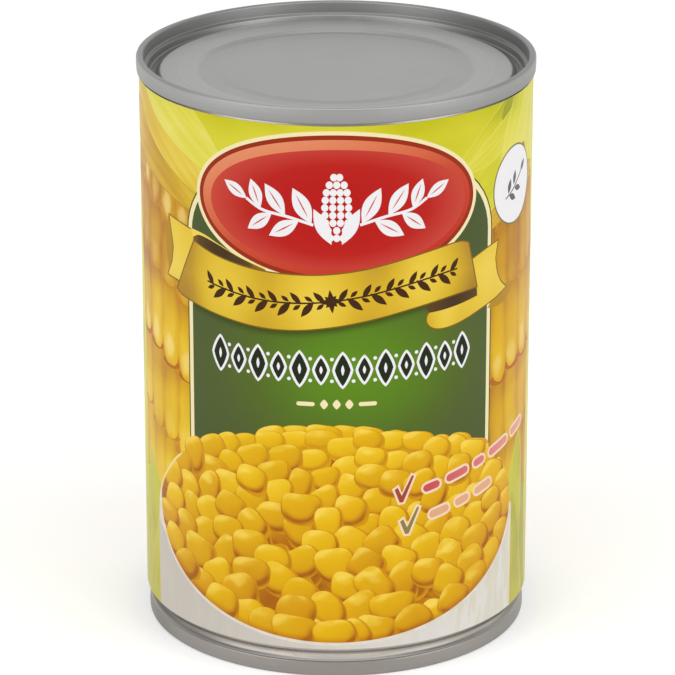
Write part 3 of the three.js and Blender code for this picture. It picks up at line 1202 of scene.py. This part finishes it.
n_loops = len(me.loops)
lab = np.zeros((n_loops, 3), np.float32)
loc = np.zeros((n_loops, 3), np.float32)
uv = np.zeros((n_loops, 2), np.float32)
nor = np.zeros((n_loops, 3), np.float32)
paper_slot = slot_of("paper_back")
mat_index = np.zeros(len(polys), np.int32)
half_s = S_START + (S_END - S_START) / 2
split = min(grid, key=lambda g: abs(g - half_s))
at = 0
for i, f in enumerate(polys):
    if i < outer_count:
        _, slot, local, tone, rnd = kept[src[i]]
        mat_index[i] = slot
        mid = sum(flat[v][0] for v in f) / 3
        centre = round(mid / FACE) * FACE
        lower = mid < split
        for v in f:
            s, z = flat[v]
            x, y = local(s, z)
            lab[at] = (s - centre, z, rnd)
            loc[at] = (x, y, tone(s, z))
            if lower:
                uv[at] = (0.002 + 0.996 * (s - S_START) / (split - S_START), 0.002 + 0.455 * (z - LABEL_Z0) / (LABEL_Z1 - LABEL_Z0))
            else:
                uv[at] = (0.002 + 0.996 * (s - split) / (S_END - split), 0.461 + 0.455 * (z - LABEL_Z0) / (LABEL_Z1 - LABEL_Z0))
            nor[at] = wrap_normal(s, False)
            at += 1
    elif i < inner_count:
        mat_index[i] = paper_slot
        for v in f:
            s, z = inner_flat[v - base]
            lab[at] = (s, z, 0.5)
            uv[at] = (0.002 + 0.996 * (s - S_START) / (S_END - S_START), 0.920 + 0.05 * (z - LABEL_Z0) / (LABEL_Z1 - LABEL_Z0))
            nor[at] = wrap_normal(s, True)
            at += 1
    else:
        mat_index[i] = paper_slot
        p = [Vector(co[v]) for v in f]
        n = (p[1] - p[0]).cross(p[2] - p[1]).normalized()
        t = (i - inner_count) / max(1, len(polys) - inner_count)
        for j in range(4):
            q = t + (0.0 if j in (1, 2) else 1.0 / (len(polys) - inner_count))
            uv[at] = (0.002 + 0.996 * q, 0.975 + (0.0 if j < 2 else 0.02))
            lab[at] = (q * 400, 0, 0.5)
            nor[at] = n
            at += 1
me.polygons.foreach_set("material_index", mat_index)
me.polygons.foreach_set("use_smooth", [True] * len(polys))
for name, data in (("lab", lab), ("loc", loc)):
    a = me.attributes.new(name, "FLOAT_VECTOR", "CORNER")
    a.data.foreach_set("vector", data.ravel())
me.uv_layers.new(name="OFBake").data.foreach_set("uv", uv.ravel())
me.normals_split_custom_set([tuple(v) for v in nor])


# =====================================================================================
# The inks. Each reads the field's own coordinates (loc) and the place on the paper (lab).
# =====================================================================================
def printed(name, colour, rough=0.25, mottle=0.05):
    m = Mat("print_" + name, Metallic=0.0, IOR=1.5, Specular_IOR_Level=0.12)
    lab_v, loc_v = m.attr("lab"), m.attr("loc")
    u, z, rnd = m.xyz(lab_v)
    x, y, tone = m.xyz(loc_v)
    c = colour(m, u, z, rnd, x, y, tone, m.vec(u, z, 0.0))
    paper = m.vec(u, z, 0.0)
    spot = m.noise(paper, 3.1, 3.0, 0.6)
    cloud = m.noise(paper, 0.12, 3.0, 0.5)
    k = m.add(m.mul(m.sub(spot, 0.5), mottle), m.add(m.mul(m.sub(cloud, 0.5), 0.05), 1.0))
    m.set("Base Color", m.scaled(c, k))
    r = m.add(m.mul(m.sub(cloud, 0.5), 0.10), m.add(m.mul(m.sub(spot, 0.5), 0.05), rough))
    m.set("Roughness", r)
    p = m.coords()
    n1 = m.bump(m.noise(p, 70.0, 2.0, 0.45), 0.20, 0.0004)
    m.set("Normal", m.bump(m.noise(p, 2400.0, 3.0, 0.6), 0.10, 0.00004, n1))
    return m.mat


def plain(*rgb):
    return lambda m, u, z, rnd, x, y, tone, v: m.mix(0.0, ink(*rgb), ink(*rgb))


def c_kernel(m, u, z, rnd, x, y, tone, v):
    """A cooked kernel: a smooth low dome, lit from above, warmer towards its underside. tone is 1
    for the kernels on top and 0 for those that show between them."""
    X = m.add(x, m.mul(m.sub(m.noise(m.vec(m.add(u, m.mul(rnd, 90)), z, 0.0), 0.24, 1.0, 0.5), 0.5), 0.85))
    Y = m.add(y, m.mul(m.sub(m.noise(m.vec(z, m.add(u, m.mul(rnd, 57)), 5.0), 0.24, 1.0, 0.5), 0.5), 0.85))
    r2 = m.add(m.mul(x, x), m.mul(y, y))
    under = m.smooth(m.sub(m.mul(X, 0.35), Y), -0.5, 1.0)  # 0 at the top left, 1 at the bottom
    far = m.smooth(z, 36.0, 47.0)
    edge = m.mul(m.smooth(r2, 0.30, 1.25), m.mul(m.lerp(under, 0.02, 0.60), m.lerp(far, 1.0, 0.44)))
    t = m.sub(m.add(m.mul(Y, 0.16), m.sub(0.70, m.mul(X, 0.08))), edge)
    t = m.add(t, m.mul(m.sub(rnd, 0.5), 0.26))
    t = m.add(t, m.mul(m.sub(m.noise(v, 0.10, 1.0), 0.5), 0.25))
    t = m.add(t, m.lerp(tone, -0.60, 0.0))
    t = m.sub(t, m.smooth(z, 46.0, 14.0, 0.0, 0.15))
    # in the shade of the rim along the bottom of the bowl
    ex, ez = m.mul(m.add(u, 0.3), 1 / 40.6), m.mul(m.sub(z, 27.9), 1 / 20.9)
    q = m.add(m.mul(ex, ex), m.mul(ez, ez))
    t = m.sub(t, m.mul(m.smooth(q, 0.86, 1.0), m.smooth(z, 26.0, 14.0, 0.0, 0.30)))
    c = m.ramp(
        t,
        (0.00, ink(168, 98, 8)),
        (0.22, ink(194, 130, 12)),
        (0.46, ink(214, 159, 18)),
        (0.72, ink(227, 180, 26)),
        (1.00, ink(241, 203, 54)),
    )
    warm = m.smooth(m.noise(m.vec(m.mul(rnd, 310), 8.0, 0.0), 1.0, 0.0), 0.45, 0.75, 0.0, 0.34)
    c = m.mix(warm, c, m.mix(m.smooth(t, 0.2, 0.9), ink(182, 110, 12), ink(228, 166, 22)))
    # the upper edge catches the light, and some have a soft patch of it just below
    d = m.add(m.mul(Y, 0.92), m.mul(X, -0.38))
    lip = m.mul(m.smooth(d, 0.42, 0.86), m.smooth(m.noise(m.vec(u, z, m.mul(rnd, 30)), 0.30, 1.0), 0.34, 0.62, 0.10, 0.62))
    hx, hy = m.mul(m.add(X, 0.12), 1 / 0.66), m.mul(m.sub(Y, 0.52), 1 / 0.36)
    shine = m.smooth(m.add(m.mul(hx, hx), m.mul(hy, hy)), 1.15, -0.15)
    some = m.smooth(m.noise(m.vec(m.mul(rnd, 500), 3.0, 0.0), 1.0, 0.0), 0.44, 0.74, 0.0, 0.58)
    bright = m.math("MINIMUM", m.add(lip, m.mul(shine, some)), 0.72)
    bright = m.mul(bright, m.lerp(tone, 0.12, 1.0))
    return m.mix(m.mul(bright, tone), c, ink(247, 218, 98))


def c_heap_shade(m, u, z, rnd, x, y, tone, v):
    """The soft shade round a kernel, on those under it. tone is 1 where there is next to none."""
    r2 = m.add(m.mul(x, x), m.mul(y, y))
    out = m.smooth(r2, 1.10, 1.75)
    deep = m.mul(m.smooth(m.sub(m.mul(x, 0.3), y), -0.7, 0.8), m.smooth(m.noise(v, 0.16, 2.0), 0.64, 0.40, 0.30, 1.0))
    c = m.mix(deep, ink(204, 144, 16), ink(160, 92, 12))
    c = m.mix(out, c, ink(206, 148, 18))
    return m.mix(m.mul(tone, 0.8), c, ink(216, 164, 30))


def c_ear(m, u, z, rnd, x, y, tone, v):
    """A long kernel on the ear: darker orange where it comes out from under the one above, with
    light on its rounded foot. tone falls off towards the sides of the ear."""
    X = m.add(x, m.mul(m.sub(m.noise(m.vec(m.add(u, m.mul(rnd, 90)), m.mul(z, 0.5), 0.0), 0.35, 2.0, 0.5), 0.5), 0.8))
    Y = m.add(y, m.mul(m.sub(m.noise(m.vec(m.mul(z, 0.5), m.add(u, m.mul(rnd, 57)), 5.0), 0.35, 2.0, 0.5), 0.5), 0.5))
    side = m.smooth(m.math("ABSOLUTE", m.add(X, 0.08)), 0.35, 1.15)
    top = m.smooth(Y, 0.10, 1.0)
    foot = m.smooth(m.mul(Y, -1.0), 0.80, 1.04)
    t = m.sub(m.sub(m.sub(0.66, m.mul(side, 0.20)), m.mul(top, 0.26)), m.mul(foot, 0.10))
    t = m.add(t, m.mul(m.sub(rnd, 0.5), 0.20))
    t = m.add(t, m.mul(m.sub(m.noise(m.vec(m.mul(u, 0.09), m.mul(z, 0.06), 2.0), 1.0, 1.0), 0.5), 0.9))
    t = m.mul(t, m.smooth(tone, 0.0, 0.9, 0.70, 1.0))
    t = m.sub(t, m.mul(m.smooth(z, 69.0, 75.0), 0.24))  # in the shade of the leaves
    t = m.add(t, m.mul(m.smooth(z, 55.0, 49.0), m.smooth(u, 5.0, -5.0, -0.05, 0.20)))
    c = m.ramp(
        t,
        (0.05, ink(166, 104, 8)),
        (0.28, ink(187, 132, 10)),
        (0.50, ink(206, 156, 14)),
        (0.72, ink(221, 176, 24)),
        (0.95, ink(236, 201, 58)),
    )
    hx, hy = m.mul(m.add(X, 0.12), 1 / 0.62), m.mul(m.add(Y, 0.60), 1 / 0.34)
    shine = m.smooth(m.add(m.mul(hx, hx), m.mul(hy, hy)), 1.1, 0.0)
    lit = m.smooth(m.math("ABSOLUTE", m.sub(z, 60.0)), 9.0, 3.0, 0.20, 0.85)
    lit = m.add(lit, m.smooth(m.math("ABSOLUTE", m.sub(z, 88.5)), 5.0, 2.5, 0.0, 0.70))
    return m.mix(m.mul(m.mul(shine, lit), m.smooth(rnd, 0.1, 0.8, 0.25, 0.70)), c, ink(247, 222, 142))


def c_ear_shade(m, u, z, rnd, x, y, tone, v):
    return m.mix(tone, ink(198, 140, 30), ink(182, 104, 30))


def c_ear_gap(m, u, z, rnd, x, y, tone, v):
    return m.ramp(m.noise(v, 0.35, 3.0, 0.6), (0.35, ink(190, 128, 28)), (0.7, ink(208, 152, 40)))


def c_gap(m, u, z, rnd, x, y, tone, v):
    n = m.noise(v, 0.5, 3.0, 0.6)
    return m.ramp(n, (0.30, ink(150, 86, 14)), (0.5, ink(172, 106, 16)), (0.75, ink(194, 132, 20)))


def c_husk(m, u, z, rnd, x, y, tone, v, edge=False, gold=False):
    """A corn leaf: long pale veins on yellow-green, darker towards its foot and edges."""
    veins = m.noise(m.vec(m.mul(x, 4.2), m.mul(y, 1.1), m.mul(rnd, 40)), 1.0, 3.0, 0.55, 0.2)
    soft = m.noise(m.vec(m.mul(u, 0.055), m.mul(z, 0.075), m.mul(rnd, 9)), 1.0, 2.0, 0.5)
    low = m.smooth(z, 46.0, 8.0)  # deeper and greener towards the foot of the label
    t = m.add(m.mul(m.sub(veins, 0.5), 0.58), m.add(m.mul(m.sub(soft, 0.5), 0.7), m.mul(tone, 0.66)))
    t = m.sub(m.add(t, 0.05), m.mul(low, 0.10))
    # painted shadow: darker along the top edge of the paper, just under the upper seam
    t = m.sub(t, m.smooth(z, 103.0, 107.0, 0.0, 0.12))
    t = m.sub(t, m.mul(m.smooth(z, 99.0, 105.0, 0.0, 0.20), m.mul(m.smooth(u, 24.0, 32.0), m.smooth(u, 46.0, 40.0))))
    if gold:
        c = m.ramp(
            t,
            (0.00, ink(186, 140, 36)),
            (0.25, ink(206, 164, 48)),
            (0.50, ink(222, 192, 66)),
            (0.80, ink(232, 212, 98)),
        )
        return m.mix(0.5, c, ink(166, 128, 44)) if edge else c
    c = m.ramp(
        t,
        (0.00, ink(158, 160, 30)),
        (0.22, ink(194, 190, 34)),
        (0.45, ink(211, 205, 56)),
        (0.68, ink(223, 214, 86)),
        (0.92, ink(234, 222, 126)),
    )
    if edge:
        c = m.mix(0.40, c, ink(226, 218, 120))
    return m.mix(m.mul(low, 0.45), c, ink(181, 170, 102))


def c_green(m, u, z, rnd, x, y, tone, v):
    """Leaf green, lighter in the middle, deepest just under the ribbon and at the sides."""
    du, dz = m.mul(m.sub(x, 2.5), 1 / 26), m.mul(m.sub(y, 61.0), 1 / 19)
    d = m.math("SQRT", m.add(m.mul(du, du), m.mul(dz, dz)))
    d = m.add(d, m.mul(m.sub(m.noise(v, 0.09, 2.0), 0.5), 0.16))
    return m.ramp(
        m.mul(d, 0.6),
        (0.0, ink(98, 142, 36)),
        (0.22, ink(92, 130, 38)),
        (0.44, ink(87, 108, 44)),
        (0.60, ink(84, 98, 52)),
        (0.9, ink(78, 90, 52)),
    )


def c_shade(m, u, z, rnd, x, y, tone, v):
    """The soft shade that the ribbon throws on the green."""
    return m.mix(m.smooth(y, -2.0, 0.2), c_green(m, u, z, rnd, x, z, tone, v), ink(60, 74, 24))


def c_red(m, u, z, rnd, x, y, tone, v):
    d = m.add(m.mul(x, x), m.mul(m.mul(y, y), 0.8))
    return m.ramp(d, (0.0, ink(182, 33, 30)), (0.45, ink(185, 40, 35)), (0.75, ink(193, 63, 54)), (1.0, ink(199, 74, 60)))


def c_badge_rim(m, u, z, rnd, x, y, tone, v):
    """The bevel: lit along the upper left, lost in the red along the lower right."""
    t = m.add(m.mul(m.sub(m.mul(y, 0.8), m.mul(x, 0.6)), 0.42), 0.5)
    return m.ramp(t, (0.10, ink(192, 56, 44)), (0.45, ink(200, 78, 54)), (0.72, ink(216, 119, 82)), (0.92, ink(224, 142, 102)))


def c_gold(m, u, z, rnd, x, y, tone, v):
    sheen = m.noise(m.vec(m.mul(u, 0.085), m.mul(z, 0.03), m.mul(rnd, 5)), 1.0, 1.0)
    t = m.mul(m.math("ABSOLUTE", m.add(m.mul(y, 0.9), 0.10)), -0.12)
    t = m.add(m.add(t, 0.30), m.mul(m.sub(sheen, 0.5), 0.40))
    t = m.add(t, m.mul(tone, 0.55))
    return m.ramp(t, (0.0, ink(150, 108, 40)), (0.22, ink(186, 146, 50)), (0.42, ink(212, 174, 48)), (0.62, ink(228, 195, 64)), (0.85, ink(240, 211, 98)))


def c_fold(m, u, z, rnd, x, y, tone, v):
    """The dark inside of a fold: near black where it is deepest, brown towards its ends."""
    d = m.add(m.math("ABSOLUTE", x), m.mul(m.sub(m.noise(v, 0.3, 2.0), 0.5), 0.4))
    return m.ramp(d, (0.1, ink(74, 56, 36)), (0.7, ink(92, 70, 40)), (1.0, ink(140, 104, 44)))


def c_pink(m, u, z, rnd, x, y, tone, v):
    """A red tint that pales towards its end."""
    return m.ramp(m.mul(x, 0.4), (0.36, ink(200, 84, 90)), (0.62, ink(216, 126, 124)), (0.92, ink(228, 168, 154)))


def c_bowl(m, u, z, rnd, x, y, tone, v):
    n = m.noise(m.vec(m.mul(u, 0.5), m.mul(z, 0.12), 0.0), 1.0, 3.0, 0.55)
    t = m.add(m.smooth(x, -42.0, 38.0), m.mul(m.sub(n, 0.5), 0.5))
    c = m.ramp(t, (0.0, ink(199, 192, 182)), (0.35, ink(206, 201, 194)), (0.7, ink(217, 214, 209)), (0.94, ink(223, 220, 213)), (1.0, ink(216, 211, 196)))
    # a soft shade under the rim
    e = m.mul(m.sub(x, -0.3), 1 / 41.15)
    ez = m.mul(m.sub(27.5, y), 1 / 21.75)
    d = m.math("SQRT", m.add(m.mul(e, e), m.mul(ez, ez)))
    return m.mix(m.smooth(d, 1.10, 1.0, 0.0, 0.06), c, ink(180, 170, 152))


def c_rim(m, u, z, rnd, x, y, tone, v):
    n = m.noise(m.vec(m.mul(u, 0.3), m.mul(z, 0.3), 0.0), 1.0, 3.0, 0.55)
    c = m.ramp(n, (0.3, ink(216, 208, 190)), (0.7, ink(231, 226, 214)))
    return m.mix(m.smooth(y, 26.0, 33.0, 0.0, 0.95), c, ink(240, 220, 146))


looks = {
    "husk": c_husk,
    "husk_edge": lambda *a: c_husk(*a, edge=True),
    "husk_gold": lambda *a: c_husk(*a, gold=True),
    "husk_gold_edge": lambda *a: c_husk(*a, edge=True, gold=True),
    "corn_gap": c_gap,
    "ear_gap": c_ear_gap,
    "ear_shade": c_ear_shade,
    "ear_kernel": c_ear,
    "heap_kernel": c_kernel,
    "heap_shade": c_heap_shade,
    "panel_green": c_green,
    "panel_shade": c_shade,
    "badge_red": c_red,
    "badge_rim": c_badge_rim,
    "gold": c_gold,
    "fold_dark": c_fold,
    "bowl": c_bowl,
    "bowl_rim": c_rim,
    "tail_shadow": plain(180, 136, 38),
    "bowl_shadow": plain(212, 186, 96),
    "cream": plain(240, 226, 178),
    "edge_dark": plain(62, 74, 34),
    "edge_red": plain(152, 50, 30),
    "disc_edge": plain(120, 122, 70),
    "badge_line": plain(204, 70, 58),
    "gold_edge": plain(128, 98, 36),
    "brown_ink": plain(70, 46, 12),
    "dark_ink": plain(40, 48, 34),
    "white_ink": plain(236, 234, 236),
    "grey_ink": plain(96, 96, 100),
    "tick_red": plain(160, 74, 62),
    "tick_olive": plain(140, 128, 72),
    "pink_ink": c_pink,
    "pale_pink": plain(225, 170, 132),
    "white_pink": plain(241, 213, 184),
    "paper_back": plain(226, 222, 210),
}
for name in MATS:
    me.materials.append(printed(name, looks[name], 0.6 if name == "paper_back" else 0.34))

# =====================================================================================
# What each piece stands for
# =====================================================================================
for piece, node, slot in (
    (can_wall, "can_body", "tinplate_body"),
    (top_end, "top_end", "tinplate_end"),
    (bottom_end, "bottom_end", "tinplate_end"),
    (label, "label", "label_paper"),
):
    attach(piece, "root")
    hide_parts(node)

# =====================================================================================
# Studio
# =====================================================================================
scene = bpy.context.scene
scene.view_settings.view_transform = "Standard"
scene.view_settings.look = "None"


def floor():
    me = bpy.data.meshes.new("floor")
    n, far = 96, 6.0
    ring = [(far * math.cos(2 * math.pi * i / n), far * math.sin(2 * math.pi * i / n), 0.0) for i in range(n)]
    me.from_pydata(ring, [], [tuple(range(n))])
    ob = bpy.data.objects.new("floor", me)
    scene.collection.objects.link(ob)
    m = Mat("floor", Roughness=0.85)
    g = m.noise(m.coords(), 3.0, 2.0)
    m.set("Base Color", m.ramp(g, (0.3, (0.93, 0.93, 0.925, 1)), (0.7, (0.945, 0.945, 0.94, 1))))
    m.bsdf.inputs["Specular IOR Level"].default_value = 0.1
    # a lit table: white all the way to the foot of the can
    m.bsdf.inputs["Emission Color"].default_value = (1.0, 1.0, 1.0, 1.0)
    m.bsdf.inputs["Emission Strength"].default_value = 0.24
    me.materials.append(m.mat)


floor()

# The room: a white sweep low down behind the can, and a dim ceiling and camera side.
world = bpy.data.worlds.new("studio")
scene.world = world
world.use_nodes = True
room = Mat.__new__(Mat)
room.tree = world.node_tree
side_x, depth_y, up_z = room.xyz(room.new("TexCoord").outputs["Generated"])
sweep = room.mul(room.smooth(depth_y, -0.1, 0.75), room.smooth(up_z, 0.8, 0.25))
sides = room.mul(room.smooth(room.math("ABSOLUTE", side_x), 0.3, 0.9), room.smooth(up_z, 0.9, 0.3))
front = room.mul(room.smooth(depth_y, 0.0, -0.6), room.smooth(up_z, 0.85, 0.45))
ceiling = room.smooth(up_z, 0.45, 0.85)
level = room.add(room.add(room.lerp(sweep, 0.36, 1.05), room.mul(sides, 0.30)), room.add(room.mul(front, 0.22), room.mul(ceiling, 0.10)))
room.tree.links.new(level, world.node_tree.nodes["Background"].inputs["Strength"])
world.node_tree.nodes["Background"].inputs["Color"].default_value = (1.0, 1.0, 1.0, 1)


def softbox(name, place, target, width, height, power):
    data = bpy.data.lights.new(name, "AREA")
    data.shape = "RECTANGLE"
    data.size, data.size_y = width, height
    data.energy = power
    ob = bpy.data.objects.new(name, data)
    ob.location = place
    ob.rotation_euler = (Vector(target) - Vector(place)).to_track_quat("-Z", "Y").to_euler()
    scene.collection.objects.link(ob)


softbox("left", (-0.95, -0.75, 0.50), (0, 0, 0.06), 1.0, 0.9, 4.1)
softbox("right", (1.00, -0.65, 0.50), (0, 0, 0.06), 1.0, 0.9, 4.3)
softbox("top", (0.0, -0.50, 1.30), (0, 0, 0.05), 1.8, 1.4, 6.3)

# The camera looks at the label's front, a little down on the lid.
ELEVATION = math.radians(19.956)
DISTANCE = 0.74617
LOOK_Z = 0.05406
cam_data = bpy.data.cameras.new("camera")
cam_data.sensor_width = 36.0
cam_data.lens = 209.25
cam_data.shift_x = 0.0020
cam_data.clip_start = 0.05
cam = bpy.data.objects.new("camera", cam_data)
cam.location = (0.0, -DISTANCE * math.cos(ELEVATION), LOOK_Z + DISTANCE * math.sin(ELEVATION))
cam.rotation_euler = (math.pi / 2 - ELEVATION, 0.0, 0.0)
scene.collection.objects.link(cam)
scene.camera = cam

bpy.context.view_layer.update()
